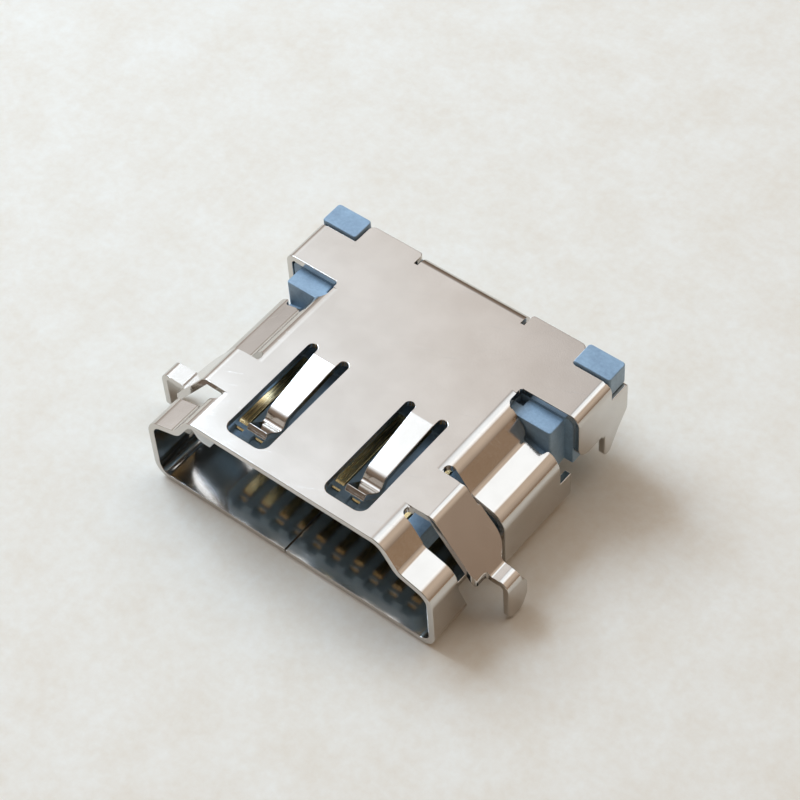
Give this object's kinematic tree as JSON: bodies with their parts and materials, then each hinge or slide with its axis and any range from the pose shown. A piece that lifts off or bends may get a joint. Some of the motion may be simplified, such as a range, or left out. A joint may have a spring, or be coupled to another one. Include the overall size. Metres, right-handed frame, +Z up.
{
  "type": "board-mounted digital video socket",
  "caption": "Low metal-shelled video socket with a D-shaped mouth, spring fingers, a contact tongue, solder tails and board-lock legs, for a cut-out at a board's edge.",
  "frame": {"origin": "on the shell's floor, in the middle of the mouth's width and of the socket's length over the tails", "axes": "+X across the mouth to the right as seen by the plug, +Y into the socket away from the mouth, +Z up from the floor to the roof with the springs"},
  "size_m": [0.0181, 0.0134, 0.0053],
  "materials": {
    "shell": "nickel plate, satin bright",
    "housing": "moulded slate blue-grey, fine matt grain",
    "contacts": "thin gold plate, satin"
  },
  "bodies": {
    "root": {"shell": "shell", "housing": "housing", "contact_01": "contacts", "contact_02": "contacts", "contact_03": "contacts", "contact_04": "contacts", "contact_05": "contacts", "contact_06": "contacts", "contact_07": "contacts", "contact_08": "contacts", "contact_09": "contacts", "contact_10": "contacts", "contact_11": "contacts", "contact_12": "contacts", "contact_13": "contacts", "contact_14": "contacts", "contact_15": "contacts", "contact_16": "contacts", "contact_17": "contacts", "contact_18": "contacts", "contact_19": "contacts"}
  },
  "joints": []
}
